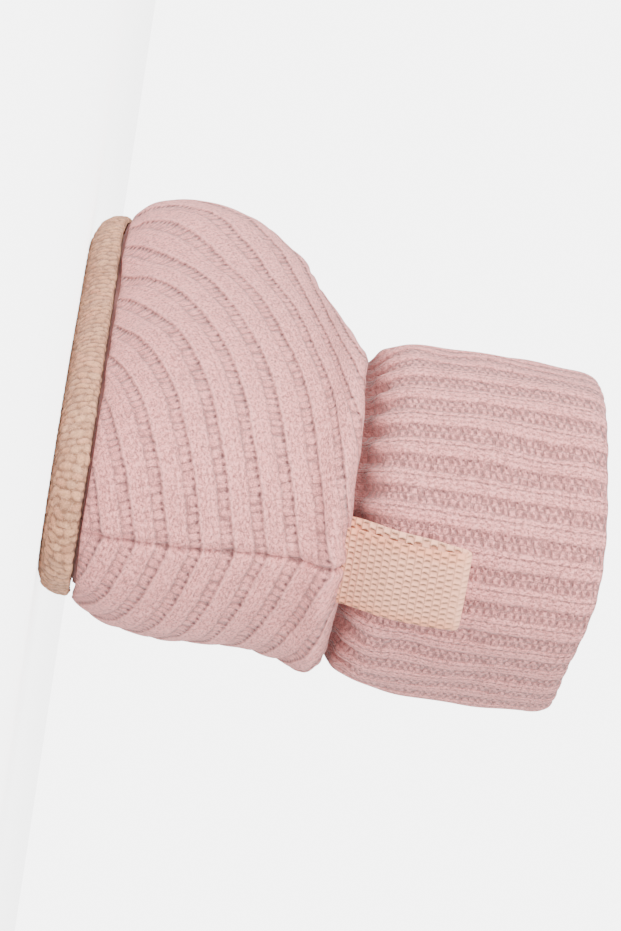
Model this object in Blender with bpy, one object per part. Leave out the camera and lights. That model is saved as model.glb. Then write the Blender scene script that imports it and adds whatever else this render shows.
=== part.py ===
"""Knitted bootie slipper: padded sole, footbed, hollow knit upper, ankle cuff and a heel loop.

Frame, metres: toe along +X, the wearer's left along +Y, up along +Z.
The origin lies on the flat underside of the sole, halfway along it.
"""
import math

import bmesh
import bpy
from mathutils import Vector

# Driving sizes, metres
SOLE_LENGTH = 0.1092
BALL_WIDTH = 0.0575
FOOT_HEIGHT = 0.0505
SHOE_HEIGHT = 0.0930
SEAM_HEIGHT = 0.0062
TOE_SPRING = 0.0042
TOE_SWING = 0.0028
TOE_SLANT = 0.30
SOLE_THICKNESS = 0.0032
FOOTBED_THICKNESS = 0.0024
WALL = 0.0025
CUFF_SWELL = 0.0042
CUFF_WALL = 0.0046
LOOP_WIDTH = 0.0134
LOOP_LENGTH = 0.0195
RIBBON = 0.0009
GAP = 0.0003

# Facets
AROUND = 80
CUFF_AROUND = 60

HEEL_X = -0.5 * SOLE_LENGTH
COLLAR_X = HEEL_X + 0.277 * SOLE_LENGTH
COLLAR_LONG = 0.244 * SOLE_LENGTH
COLLAR_WIDE = 0.463 * BALL_WIDTH

# share of the length, share of the half width before the ends are rounded off
PLAN = [
    (0.00, 0.80),
    (0.12, 0.79),
    (0.50, 0.86),
    (0.78, 1.09),
    (0.90, 1.17),
    (1.00, 1.16),
]
END_POWER = 0.76

# Rings of the upper from the sole seam to the collar. Back and front are shares of the sole length,
# half is a share of the ball width, height a share of the foot height, lift a share of the toe
# spring, blend goes from 0 (sole outline) to 1 (round collar).
UPPER = [
    # name       back     front   half   height  lift   blend
    ("seam",     0.0000, 1.0000, 0.500, 0.123, 1.00, 0.00),
    ("low",     -0.0190, 1.0220, 0.564, 0.218, 1.00, 0.05),
    ("widest",  -0.0160, 1.0290, 0.608, 0.370, 1.00, 0.16),
    ("wall",    -0.0050, 0.9980, 0.606, 0.560, 1.00, 0.26),
    ("shoulder", 0.0070, 0.9017, 0.576, 0.728, 0.85, 0.42),
    ("vamp",     0.0040, 0.7554, 0.545, 0.852, 0.70, 0.65),
    ("roll",    -0.0110, 0.6134, 0.512, 0.940, 0.60, 0.90),
    ("crest",    0.0140, 0.5474, 0.488, 1.000, 0.30, 1.00),
]

# Sections of the sole rim: inset from the seam outline and height, shares of the seam height
RIM = [
    # name      inset  height
    ("ground",  0.86, 0.00),
    ("turn",    0.50, 0.05),
    ("round",   0.20, 0.25),
    ("side",    0.03, 0.58),
]

# Rings of the cuff: height from collar (0) to rim (1), radius from neck (0) to full (1)
CUFF = [
    # name       height  swell
    ("sewn",     0.000, 0.00),
    ("neck",     0.075, 0.06),
    ("swell",    0.150, 0.46),
    ("low",      0.245, 0.86),
    ("body",     0.450, 0.99),
    ("high",     0.720, 1.00),
    ("fold",     0.900, 0.94),
]

# Facets round the loop's fold and across its ribbon
FOLD_STEPS = 6
LOOP_ACROSS = 6


def between(rows, column, share):
    """Value of one column of a table at a share of its rows, through smooth cubics."""
    last = len(rows) - 1
    low = min(int(share), last - 1)
    step = share - low

    def slope(index):
        before = max(index - 1, 0)
        after = min(index + 1, last)
        return (rows[after][column] - rows[before][column]) / (after - before)

    start = rows[low][column]
    end = rows[low + 1][column]
    square = step * step
    cube = square * step
    return (
        (2 * cube - 3 * square + 1) * start
        + (cube - 2 * square + step) * slope(low)
        + (3 * square - 2 * cube) * end
        + (cube - square) * slope(low + 1)
    )


def table_at(rows, x):
    """Second column of a two-column table at a value of the first."""
    for index in range(len(rows) - 1):
        if x <= rows[index + 1][0]:
            break
    share = (x - rows[index][0]) / (rows[index + 1][0] - rows[index][0])
    return between(rows, 1, index + min(max(share, 0.0), 1.0))


def half_share(s, blend):
    """Half width of a ring at a share of its length, before it is scaled to 1."""
    swing = 2.0 * math.sqrt(max(s * (1.0 - s), 0.0))
    power = END_POWER + (1.0 - END_POWER) * blend
    plan = table_at(PLAN, s)
    return swing ** power * (plan + (1.0 - plan) * blend)


def widest_share(blend):
    """Largest half width that half_share gives."""
    return max(half_share(step / 60, blend) for step in range(1, 60))


def toe_lift(s):
    """Rise of the sole under the toe, 0 over the heel and ball."""
    share = min(max((s - 0.70) / 0.30, 0.0), 1.0)
    return TOE_SPRING * share * share


def plan_ring(back, front, half, blend, count):
    """One closed ring seen from above: (x, y, share of the length)."""
    scale = half / widest_share(blend)
    points = []
    for index in range(count):
        angle = 2.0 * math.pi * index / count
        s = (1.0 - math.cos(angle)) / 2.0
        side = -1.0 if angle > math.pi else 1.0
        y = side * scale * half_share(s, blend)
        if index in (0, count // 2):
            y = 0.0
        x = back + (front - back) * s + TOE_SLANT * (1.0 - blend) * y * s ** 5
        points.append((x, y + TOE_SWING * (1.0 - blend) * s ** 3, s))
    return points


def upper_ring(share, count):
    """Ring of the upper's outside; share runs from 0 (seam) to the last row (crest)."""
    back, front, half, height, lift, blend = (between(UPPER, column, share) for column in range(1, 7))
    ring = plan_ring(
        HEEL_X + back * SOLE_LENGTH,
        HEEL_X + front * SOLE_LENGTH,
        half * BALL_WIDTH,
        min(max(blend, 0.0), 1.0),
        count,
    )
    return [Vector((x, y, height * FOOT_HEIGHT + lift * toe_lift(s))) for x, y, s in ring]


def oval(swell, height, count):
    """Ring about the collar's axis, wider than the collar by a swell, in step with the upper."""
    points = []
    for index in range(count):
        angle = 2.0 * math.pi * index / count
        x = COLLAR_X - (COLLAR_LONG + swell) * math.cos(angle)
        points.append(Vector((x, (COLLAR_WIDE + swell) * math.sin(angle), height)))
    return points


def seam_outline(inset, height, count):
    """Sole outline moved in by a distance, at a height over the lifted sole."""
    ring = plan_ring(HEEL_X, HEEL_X + SOLE_LENGTH, 0.5 * BALL_WIDTH, 0.0, count)
    points = []
    for index, (x, y, s) in enumerate(ring):
        before = ring[index - 1]
        after = ring[(index + 1) % count]
        along = Vector((after[0] - before[0], after[1] - before[1], 0.0)).normalized()
        inward = Vector((along.y, -along.x, 0.0))
        points.append(Vector((x, y, height + toe_lift(s))) + inward * inset)
    return points


def bridge(mesh, lower, upper):
    """Faces between two rings of one count."""
    count = len(lower)
    for index in range(count):
        after = (index + 1) % count
        mesh.faces.new((lower[index], lower[after], upper[after], upper[index]))


def ladder(mesh, ring):
    """Close a flat ring with rungs from side to side."""
    count = len(ring)
    half = count // 2
    mesh.faces.new((ring[0], ring[1], ring[count - 1]))
    for index in range(1, half - 1):
        mesh.faces.new((ring[index], ring[index + 1], ring[count - index - 1], ring[count - index]))
    mesh.faces.new((ring[half - 1], ring[half], ring[half + 1]))


def solid(name, rings, ends, colour, roughness, collection):
    """One body through a list of rings. Its ends are joined, closed by ladders, or capped."""
    mesh = bmesh.new()
    made = [[mesh.verts.new(point) for point in ring] for ring in rings]
    for lower, upper in zip(made, made[1:]):
        bridge(mesh, lower, upper)
    if ends == "joined":
        bridge(mesh, made[-1], made[0])
    for ring in (made[0], made[-1]):
        if ends == "ladders":
            ladder(mesh, ring)
        if ends == "capped":
            mesh.faces.new(ring)
    bmesh.ops.triangulate(mesh, faces=mesh.faces[:])
    bmesh.ops.recalc_face_normals(mesh, faces=mesh.faces[:])
    data = bpy.data.meshes.new(name)
    mesh.to_mesh(data)
    mesh.free()
    material = bpy.data.materials.new(name + "_cloth")
    material.use_nodes = True
    shader = material.node_tree.nodes["Principled BSDF"]
    shader.inputs["Base Color"].default_value = (*colour, 1.0)
    shader.inputs["Roughness"].default_value = roughness
    data.materials.append(material)
    thing = bpy.data.objects.new(name, data)
    collection.objects.link(thing)
    return thing


def build_outsole(collection):
    """Padded sole: flat underside, round rim up to the seam, shallow dish inside."""
    rings = [seam_outline(inset * SEAM_HEIGHT, height * SEAM_HEIGHT, AROUND) for _, inset, height in RIM]
    top = SEAM_HEIGHT - 0.5 * GAP
    rings.append(seam_outline(0.0, top, AROUND))
    rings.append(seam_outline(0.9 * WALL, top, AROUND))
    floor = min(SOLE_THICKNESS, 0.6 * SEAM_HEIGHT)
    rings.append(seam_outline(1.4 * WALL, 0.3 * top + 0.7 * floor, AROUND))
    rings.append(seam_outline(1.4 * WALL + 0.35 * SEAM_HEIGHT, floor, AROUND))
    return solid("outsole", rings, "ladders", (0.60, 0.42, 0.33), 0.95, collection)


def build_insole(collection):
    """Footbed lying in the sole, its edge turned up behind the seam."""
    floor = min(SOLE_THICKNESS, 0.6 * SEAM_HEIGHT) + GAP
    edge = 1.4 * WALL + GAP
    wall = WALL + 2.0 * GAP
    top = floor + FOOTBED_THICKNESS
    rise = SEAM_HEIGHT + 0.42 * FOOTBED_THICKNESS
    slope = max(rise - 0.08 * FOOTBED_THICKNESS, top + 0.08 * FOOTBED_THICKNESS)
    rings = [
        seam_outline(edge + 0.38 * SEAM_HEIGHT, floor, AROUND),
        seam_outline(edge + 0.10 * SEAM_HEIGHT, 0.75 * floor + 0.25 * SEAM_HEIGHT + GAP, AROUND),
        seam_outline(edge - 0.3 * WALL, SEAM_HEIGHT - 0.2 * (SEAM_HEIGHT - floor), AROUND),
        seam_outline(wall, rise - 0.17 * FOOTBED_THICKNESS, AROUND),
        seam_outline(wall + 0.25 * FOOTBED_THICKNESS, rise + 0.08 * FOOTBED_THICKNESS, AROUND),
        seam_outline(wall + 0.67 * FOOTBED_THICKNESS, slope, AROUND),
        seam_outline(edge + 0.50 * SEAM_HEIGHT, top, AROUND),
    ]
    return solid("insole", rings, "ladders", (0.72, 0.58, 0.50), 0.95, collection)


def unit_normals(ring, below, above):
    """Outward normals of a ring, from its neighbours round it and up it."""
    count = len(ring)
    normals = []
    for index in range(count):
        around = ring[(index + 1) % count] - ring[index - 1]
        upward = above[index] - below[index]
        normals.append(upward.cross(around).normalized())
    return normals


def build_upper(collection):
    """Knit upper: one hollow wall from the sole seam to the turned-in collar."""
    last = len(UPPER) - 1
    steps = 2 * last
    rings = [upper_ring(step / 2, AROUND) for step in range(steps + 1)]
    start = SEAM_HEIGHT + 0.5 * GAP - UPPER[0][4] * FOOT_HEIGHT
    rings[0] = [point + Vector((0, 0, start)) for point in rings[0]]
    crest = rings[-1]
    edge = oval(0.0, FOOT_HEIGHT - 0.16 * WALL, AROUND)
    brow = [0.5 * (a + b) + Vector((0, 0, 0.08 * WALL)) for a, b in zip(crest, edge)]
    outer = rings + [brow, edge]
    inner = []
    roll = 2 * (last - 1)
    for step in range(0, roll + 1):
        share = step / 2
        ring = rings[step]
        below = upper_ring(max(share - 0.1, 0.0), AROUND)
        above = upper_ring(share + 0.1, AROUND)
        flat = max(1.0 - step / 2.0, 0.0)
        moved = []
        for point, normal in zip(ring, unit_normals(ring, below, above)):
            level = Vector((normal.x, normal.y, 0.0)).normalized()
            moved.append(point - WALL * (normal * (1.0 - flat) + level * flat).normalized())
        inner.append(moved)
    inner.append(oval(0.0, FOOT_HEIGHT - 1.16 * WALL, AROUND))
    rings = outer + inner[::-1]
    return solid("upper", rings, "joined", (0.66, 0.42, 0.40), 0.95, collection)


def cuff_swell(share):
    """How far the cuff stands out from the collar's edge at a share of its rows."""
    return -1.4 * GAP + (CUFF_SWELL + 1.4 * GAP) * between(CUFF, 2, share)


def cuff_height(share):
    """Height of the cuff at a share of its rows."""
    foot = FOOT_HEIGHT - WALL
    return foot + (SHOE_HEIGHT - foot) * between(CUFF, 1, share)


def build_cuff(collection):
    """Ankle cuff: a tube with a narrow sewn neck, folded over at the rim."""
    last = len(CUFF) - 1
    outer = [oval(cuff_swell(step / 2), cuff_height(step / 2), CUFF_AROUND) for step in range(2 * last + 1)]
    height = cuff_height(last)
    reach = SHOE_HEIGHT - height
    middle = cuff_swell(last) - 0.5 * CUFF_WALL
    for degrees in (35, 65, 90, 115, 145, 180):
        turn = math.radians(degrees)
        swell = middle + 0.5 * CUFF_WALL * math.cos(turn)
        outer.append(oval(swell, height + reach * math.sin(turn), CUFF_AROUND))
    inner = []
    for step in range(2 * last - 1, -1, -1):
        share = step / 2
        wall = WALL + (CUFF_WALL - WALL) * min(between(CUFF, 2, share), 1.0)
        inner.append(oval(cuff_swell(share) - wall, cuff_height(share), CUFF_AROUND))
    return solid("cuff", outer + inner, "joined", (0.66, 0.42, 0.40), 0.95, collection)


def cuff_swell_at(height):
    """How far the cuff stands out at a height."""
    last = len(CUFF) - 1
    for step in range(20 * last):
        if cuff_height((step + 1) / 20) >= height:
            break
    return max(cuff_swell(step / 20), cuff_swell((step + 1) / 20))


def build_pull_loop(collection):
    """Ribbon folded in two and caught in the ankle seam, lying on the cuff's back."""
    foot = FOOT_HEIGHT + 2.0 * GAP
    thick = 2.0 * RIBBON + GAP
    near = []
    steps = 7
    for step in range(steps + 1):
        height = foot + (LOOP_LENGTH - 0.5 * thick) * step / steps
        near.append((cuff_swell_at(height) + 1.6 * GAP, height))
    outline = list(near)
    swell, height = near[-1]
    for step in range(1, FOLD_STEPS):
        turn = math.pi * step / FOLD_STEPS
        outline.append((swell + 0.5 * thick * (1 - math.cos(turn)), height + 0.5 * thick * math.sin(turn)))
    outline += [(swell + thick, height) for swell, height in near[::-1]]
    rings = []
    for step in range(LOOP_ACROSS + 1):
        y = LOOP_WIDTH * (step / LOOP_ACROSS - 0.5)
        ring = []
        for swell, height in outline:
            turn = math.asin(y / (COLLAR_WIDE + swell))
            ring.append(Vector((COLLAR_X - (COLLAR_LONG + swell) * math.cos(turn), y, height)))
        rings.append(ring)
    return solid("pull_loop", rings, "capped", (0.78, 0.55, 0.46), 0.8, collection)


def main():
    """Build every piece of the bootie."""
    for thing in list(bpy.data.objects):
        bpy.data.objects.remove(thing, do_unlink=True)
    collection = bpy.data.collections.new("bootie_slipper")
    bpy.context.scene.collection.children.link(collection)
    build_outsole(collection)
    build_insole(collection)
    build_upper(collection)
    build_cuff(collection)
    build_pull_loop(collection)


main()
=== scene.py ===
"""Looks of the knitted bootie slipper: rib knit, nubby woven sole, ribbon loop, floor and light.

Lengths are metres in the part's frame: toe along +X, the wearer's left along +Y, up along +Z.
"""

from __future__ import annotations

import logging
import math
from dataclasses import dataclass, field
from enum import Enum

import bpy
import numpy as np
from mathutils import Matrix, Vector

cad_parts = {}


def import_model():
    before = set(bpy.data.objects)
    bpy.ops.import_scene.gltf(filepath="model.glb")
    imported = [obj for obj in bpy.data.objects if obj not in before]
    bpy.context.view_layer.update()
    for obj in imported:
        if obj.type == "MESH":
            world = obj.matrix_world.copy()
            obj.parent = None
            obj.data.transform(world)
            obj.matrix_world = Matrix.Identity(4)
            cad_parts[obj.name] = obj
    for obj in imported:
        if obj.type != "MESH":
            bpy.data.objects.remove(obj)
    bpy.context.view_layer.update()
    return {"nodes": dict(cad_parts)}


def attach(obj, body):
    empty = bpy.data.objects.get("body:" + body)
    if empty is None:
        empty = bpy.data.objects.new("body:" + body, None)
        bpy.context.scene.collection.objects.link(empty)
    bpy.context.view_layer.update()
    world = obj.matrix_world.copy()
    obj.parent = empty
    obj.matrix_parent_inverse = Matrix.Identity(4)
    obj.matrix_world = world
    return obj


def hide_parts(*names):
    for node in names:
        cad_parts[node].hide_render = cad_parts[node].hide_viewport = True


LOG = logging.getLogger("bootie")
BODY = "root"
MM = 0.001
TURN = 2.0 * math.pi
UP = np.array([0.0, 0.0, 1.0])
Array = np.ndarray
Colour = tuple[float, float, float]


class Slot(Enum):
    """Material slots of the part's record."""

    OUTSOLE = "outsole"
    INSOLE = "insole"
    UPPER = "upper"
    CUFF = "cuff"
    LOOP = "pull_loop"


@dataclass(frozen=True)
class Sizes:
    """The part's driving sizes, as in its source, and the drop of the upper's edge from the foot's height."""

    sole_length: float = 0.1092
    ball_width: float = 0.0575
    foot_height: float = 0.0505
    shoe_height: float = 0.0930
    seam_height: float = 0.0062
    toe_spring: float = 0.0042
    toe_swing: float = 0.0028
    toe_slant: float = 0.30
    wall: float = 0.0025
    cuff_swell: float = 0.0042
    cuff_wall: float = 0.0046
    loop_width: float = 0.0134
    loop_length: float = 0.0195
    ribbon: float = 0.0009
    gap: float = 0.0003
    edge_drop: float = 0.0004
    end_power: float = 0.76

    @property
    def heel_x(self) -> float:
        """Rearmost point of the sole outline."""
        return -0.5 * self.sole_length

    @property
    def collar_x(self) -> float:
        """Axis of the collar and cuff."""
        return self.heel_x + 0.277 * self.sole_length

    @property
    def collar_long(self) -> float:
        """Half length of the collar's edge."""
        return 0.244 * self.sole_length

    @property
    def collar_wide(self) -> float:
        """Half width of the collar's edge."""
        return 0.463 * self.ball_width


# share of the length, share of the half width before the ends are rounded off
PLAN = np.array([(0.00, 0.80), (0.12, 0.79), (0.50, 0.86), (0.78, 1.09), (0.90, 1.17), (1.00, 1.16)])

# back, front, half, height, lift, blend of each ring of the upper, from the seam to the crest
UPPER = np.array(
    [
        (0.0000, 1.0000, 0.500, 0.123, 1.00, 0.00),
        (-0.0190, 1.0220, 0.564, 0.218, 1.00, 0.05),
        (-0.0160, 1.0290, 0.608, 0.370, 1.00, 0.16),
        (-0.0050, 0.9980, 0.606, 0.560, 1.00, 0.26),
        (0.0070, 0.9017, 0.576, 0.728, 0.85, 0.42),
        (0.0040, 0.7554, 0.545, 0.852, 0.70, 0.65),
        (-0.0110, 0.6134, 0.512, 0.940, 0.60, 0.90),
        (0.0140, 0.5474, 0.488, 1.000, 0.30, 1.00),
    ]
)
CREST = 7.0

# height from the collar (0) to the rim (1), swell from the neck (0) to the full cuff (1)
CUFF = np.array(
    [(0.0, 0.0), (0.075, 0.06), (0.150, 0.46), (0.245, 0.86), (0.450, 0.99), (0.720, 1.0), (0.900, 0.94)]
)
CUFF_TOP = 6.0

# inset and height of the sole's edge from its flat underside to the seam, in seam heights
RIM = np.array(
    [(0.86, 0.0), (0.62, 0.015), (0.50, 0.05), (0.33, 0.13), (0.20, 0.25), (0.09, 0.41)]
    + [(0.03, 0.58), (0.0, 0.78), (0.02, 0.93), (0.16, 1.0)]
)

# share of the way from heel to toe, rib number at the sole seam, rib number at the collar
RIBS = np.array(
    [(0.00, -0.57, 7.75), (0.07, 0.00, 8.30), (0.12, 0.45, 8.70), (0.18, 1.00, 9.00)]
    + [(0.25, 1.80, 9.40), (0.32, 2.70, 10.00), (0.41, 3.80, 10.80), (0.48, 4.85, 11.50)]
    + [(0.565, 5.90, 12.10), (0.645, 7.00, 12.60), (0.80, 9.50, 13.20), (1.00, 13.50, 13.50)]
)

# the knit: length of a stitch in millimetres, half width of a groove in ribs, stitch columns on a rib, rows
# of beads in a groove, strength of the pits, width of the dark lines in half grooves, strength of the rib's
# raised edge and of the gutters between its columns
STITCH = dict(Pitch=1.5, Groove=0.18, Wales=3.0, Beads=1.0, Pits=0.0, Line=0.30, Welt=1.0, Gutters=0.3)


def smooth_rows(rows: Array, index: Array | int, step: Array | float) -> Array:
    """Values between neighbouring rows of a table, through smooth cubics.

    Args:
        rows: the table.
        index: the row below each place.
        step: how far each place lies towards the next row, 0 to 1.

    Returns:
        One row, or one value, for each place.
    """
    last = len(rows) - 1
    low, high = rows[index], rows[index + 1]
    slope_a = (high - rows[np.maximum(index - 1, 0)]) / np.where(index > 0, 2, 1)
    slope_b = (rows[np.minimum(index + 2, last)] - low) / np.where(index < last - 1, 2, 1)
    cube, square = step**3, step**2
    return (
        (2 * cube - 3 * square + 1) * low
        + (cube - 2 * square + step) * slope_a
        + (3 * square - 2 * cube) * high
        + (cube - square) * slope_b
    )


def between(rows: Array, share: float) -> Array:
    """Row of a table at a share of its rows, 0 at the first."""
    index = min(int(share), len(rows) - 2)
    return smooth_rows(rows, index, share - index)


def smooth_lookup(table: Array, column: int, at: Array) -> Array:
    """Column of a table at many values of its first column, smooth from row to row.

    Args:
        table: rows sorted by their first column.
        column: column to read.
        at: values of the first column.

    Returns:
        One value for each of them.
    """
    index = np.clip(np.searchsorted(table[:, 0], at, side="left") - 1, 0, len(table) - 2)
    start, end = table[index, 0], table[index + 1, 0]
    return smooth_rows(table[:, column], index, np.clip((at - start) / (end - start), 0.0, 1.0))


def smoothstep(low: float, high: float, value: Array | float) -> Array:
    """Smooth rise from 0 where the value is low to 1 where it is high."""
    share = np.clip((value - low) / (high - low), 0.0, 1.0)
    return share * share * (3.0 - 2.0 * share)


def bell(value: Array, middle: float, width: float) -> Array:
    """Smooth bump of height 1 where the value is the middle one, gone about two widths away."""
    return np.exp(-(((value - middle) / width) ** 2))


def unit(vectors: Array) -> Array:
    """Vectors brought to length 1."""
    return vectors / np.maximum(np.linalg.norm(vectors, axis=-1, keepdims=True), 1e-12)


def pack(*parts: Array | float) -> Array:
    """Numbers spread to one shape and set side by side on a last axis."""
    return np.stack(np.broadcast_arrays(*parts), axis=-1)


def travelled(points: Array) -> Array:
    """Distance run from point to point along the first axis, 0 at its start."""
    step = np.linalg.norm(np.diff(points, axis=0), axis=-1)
    return np.concatenate([np.zeros_like(step[:1]), np.cumsum(step, axis=0)])


class Last:
    """The shoe's shape: sole outline, upper and cuff as functions, shared by every piece."""

    def __init__(self, sizes: Sizes) -> None:
        """Keep the sizes and measure the outline once."""
        self.sizes = sizes
        self.angles = self.even_angles(640, 3.0)

    def half_share(self, s: Array, blend: float) -> Array:
        """Half width of a ring at a share of its length, before scaling.

        Args:
            s: shares of the ring's length.
            blend: 0 for the sole's outline, 1 for a round ring.

        Returns:
            Unscaled half widths.
        """
        swing = 2.0 * np.sqrt(np.maximum(s * (1.0 - s), 0.0))
        power = self.sizes.end_power + (1.0 - self.sizes.end_power) * blend
        plan = smooth_lookup(PLAN, 1, s)
        return swing**power * (plan + (1.0 - plan) * blend)

    def toe_lift(self, s: Array) -> Array:
        """Rise of the sole under the toe at shares of its length."""
        return self.sizes.toe_spring * np.clip((s - 0.70) / 0.30, 0.0, 1.0) ** 2

    def plan_ring(
        self, back: float, front: float, half: float, blend: float, angle: Array
    ) -> tuple[Array, Array, Array]:
        """One ring seen from above.

        Args:
            back: rearmost x.
            front: foremost x.
            half: largest half width.
            blend: 0 for the sole's outline, 1 for a round ring.
            angle: angles round the ring, 0 at the heel and pi at the toe.

        Returns:
            x, y and share of the length for each angle.
        """
        scale = half / self.half_share(np.arange(1, 60) / 60, blend).max()
        s = (1.0 - np.cos(angle)) / 2.0
        y = np.sign(np.sin(angle)) * scale * self.half_share(s, blend)
        x = back + (front - back) * s + self.sizes.toe_slant * (1.0 - blend) * y * s**5
        return x, y + self.sizes.toe_swing * (1.0 - blend) * s**3, s

    def upper_ring(self, share: float, angle: Array) -> Array:
        """Ring of the upper's outside.

        Args:
            share: 0 at the seam, 7 at the crest.
            angle: angles round the ring.

        Returns:
            Points, one for each angle.
        """
        size = self.sizes
        back, front, half, height, lift, blend = between(UPPER, share)
        x, y, s = self.plan_ring(
            size.heel_x + back * size.sole_length,
            size.heel_x + front * size.sole_length,
            half * size.ball_width,
            float(np.clip(blend, 0.0, 1.0)),
            angle,
        )
        return pack(x, y, height * size.foot_height + lift * self.toe_lift(s))

    def oval(self, swell: float, height: float, angle: Array) -> Array:
        """Ring about the collar's axis.

        Args:
            swell: distance outside the collar's edge.
            height: height over the floor.
            angle: angles round the ring.

        Returns:
            Points, one for each angle.
        """
        size = self.sizes
        x = size.collar_x - (size.collar_long + swell) * np.cos(angle)
        y = (size.collar_wide + swell) * np.sin(angle)
        return pack(x, y, height)

    def even_angles(self, count: int, share: float) -> Array:
        """Angles that step evenly along one ring of the upper, the first at the heel.

        Args:
            count: number of angles.
            share: the ring to step along.

        Returns:
            Angles from 0 up to, and without, two pi.
        """
        halves = []
        for start in (0.0, math.pi):
            fine = np.linspace(start, start + math.pi, 4001)
            run = travelled(self.upper_ring(share, fine))
            halves.append(np.interp(np.arange(count // 2) / (count // 2) * run[-1], run, fine))
        return np.concatenate(halves)

    def seam_outline(self, angle: Array) -> tuple[Array, Array, Array]:
        """Sole outline with its outward directions.

        Args:
            angle: angles round the outline.

        Returns:
            Points on the plan, unit outward vectors, and rise of the sole there.
        """
        size = self.sizes
        before, (x, y, s), after = (
            self.plan_ring(size.heel_x, -size.heel_x, 0.5 * size.ball_width, 0.0, angle + step)
            for step in (-0.004, 0.0, 0.004)
        )
        along = unit(pack(after[0] - before[0], after[1] - before[1]))
        outward = pack(-along[:, 1], along[:, 0])
        return pack(x, y), outward, self.toe_lift(s)

    def cuff_profile(self, share: float) -> tuple[float, float]:
        """Swell and height of the cuff's outside.

        Args:
            share: 0 at the neck, 6 just under the rim.

        Returns:
            Swell over the collar's edge, and height.
        """
        size = self.sizes
        height, swell = between(CUFF, share)
        foot = size.foot_height - size.wall
        neck = -1.4 * size.gap
        return neck + (size.cuff_swell - neck) * swell, foot + (size.shoe_height - foot) * height


def hash_noise(points: Array, cell: float, seed: int) -> Array:
    """Smooth random values from -1 to 1 in space, for soft unevenness.

    Args:
        points: places, the last axis x, y, z.
        cell: size of one patch.
        seed: changes the pattern.

    Returns:
        One value for each place.
    """
    grid = points / cell
    base = np.floor(grid).astype(np.int64)
    part = grid - base
    part = part * part * (3.0 - 2.0 * part)
    total = np.zeros(points.shape[:-1])
    for corner in range(8):
        shift = np.array([(corner >> axis) & 1 for axis in range(3)])
        key = (base + shift) @ np.array([73856093, 19349663, 83492791]) + seed * 2654435761
        key = (key ^ (key >> 13)) * 1274126177
        value = ((key >> 7) & 0xFFFF) / 32767.5 - 1.0
        total += value * np.prod(np.where(shift == 1, part, 1.0 - part), axis=-1)
    return total


def grid_normals(points: Array, wrap: bool = True) -> Array:
    """Unit normals of a grid of points, rows up and columns round.

    Args:
        points: grid of places.
        wrap: whether the columns close into a ring.

    Returns:
        A grid of vectors that point out of the ring.
    """
    if wrap:
        around = np.roll(points, -1, axis=1) - np.roll(points, 1, axis=1)
    else:
        around = np.gradient(points, axis=1)
    return unit(np.cross(np.gradient(points, axis=0), around))


def grid_piece(
    name: str,
    points: Array,
    uv: Array | None = None,
    marks: tuple[str, Array] | None = None,
    flip: bool = False,
) -> bpy.types.Object:
    """Smooth mesh through a grid of points whose columns close into a ring.

    Args:
        name: the piece's name.
        points: grid of places, rows by columns by 3.
        uv: map of the knit or weave, rows by columns plus one by 2.
        marks: name and values of what else the cloth's material reads, rows by columns by 3.
        flip: turn the faces over.

    Returns:
        The new object, linked to the scene.
    """
    rows, columns = points.shape[:2]
    row, column = np.meshgrid(np.arange(rows - 1), np.arange(columns), indexing="ij")
    corner_row = pack(row, row, row + 1, row + 1).reshape(-1, 4)
    corner_column = pack(column, column + 1, column + 1, column).reshape(-1, 4)
    if not flip:
        corner_row, corner_column = corner_row[:, ::-1], corner_column[:, ::-1]
    quads = corner_row * columns + corner_column % columns
    data = bpy.data.meshes.new(name)
    data.vertices.add(rows * columns)
    data.vertices.foreach_set("co", points.reshape(-1).astype(np.float32))
    data.loops.add(quads.size)
    data.loops.foreach_set("vertex_index", quads.reshape(-1).astype(np.int32))
    data.polygons.add(len(quads))
    data.polygons.foreach_set("loop_start", np.arange(0, quads.size, 4, dtype=np.int32))
    data.polygons.foreach_set("use_smooth", np.ones(len(quads), dtype=bool))
    data.update(calc_edges=True)
    if uv is not None:
        layer = data.uv_layers.new(name="weave")
        layer.data.foreach_set("uv", uv[corner_row, corner_column].reshape(-1).astype(np.float32))
    data.validate()
    if marks is not None:
        layer = data.attributes.new(marks[0], "FLOAT_VECTOR", "POINT")
        layer.data.foreach_set("vector", marks[1].reshape(-1).astype(np.float32))
    thing = bpy.data.objects.new(name, data)
    bpy.context.scene.collection.objects.link(thing)
    return thing


def stand_in(slot: Slot) -> None:
    """Let a mesh replace the part's node of the same slot."""
    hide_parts(slot.value)


@dataclass(frozen=True)
class SoftFold:
    """Soft trough or ridge pressed into the cloth between two places.

    Places are shares: of the sole's length from the heel, of half the ball's width, of the shoe's height.
    """

    start: tuple[float, float, float]
    end: tuple[float, float, float]
    width: float
    depth: float

    def press(self, points: Array, sizes: Sizes) -> Array:
        """Offsets that the fold gives a grid of points.

        Args:
            points: places on the cloth.
            sizes: the part's driving sizes.

        Returns:
            Metres along the normal, below 0 in a trough.
        """
        scale = np.array([sizes.sole_length, 0.5 * sizes.ball_width, sizes.shoe_height])
        first = np.array([sizes.heel_x, 0.0, 0.0]) + np.array(self.start) * scale
        span = (np.array(self.end) - np.array(self.start)) * scale
        share = np.clip(((points - first) @ span) / (span @ span), 0.0, 1.0)
        gap = np.linalg.norm(points - first - share[..., None] * span, axis=-1)
        return -self.depth * np.sin(np.pi * (0.15 + 0.7 * share)) * bell(gap, 0.0, self.width)


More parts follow.
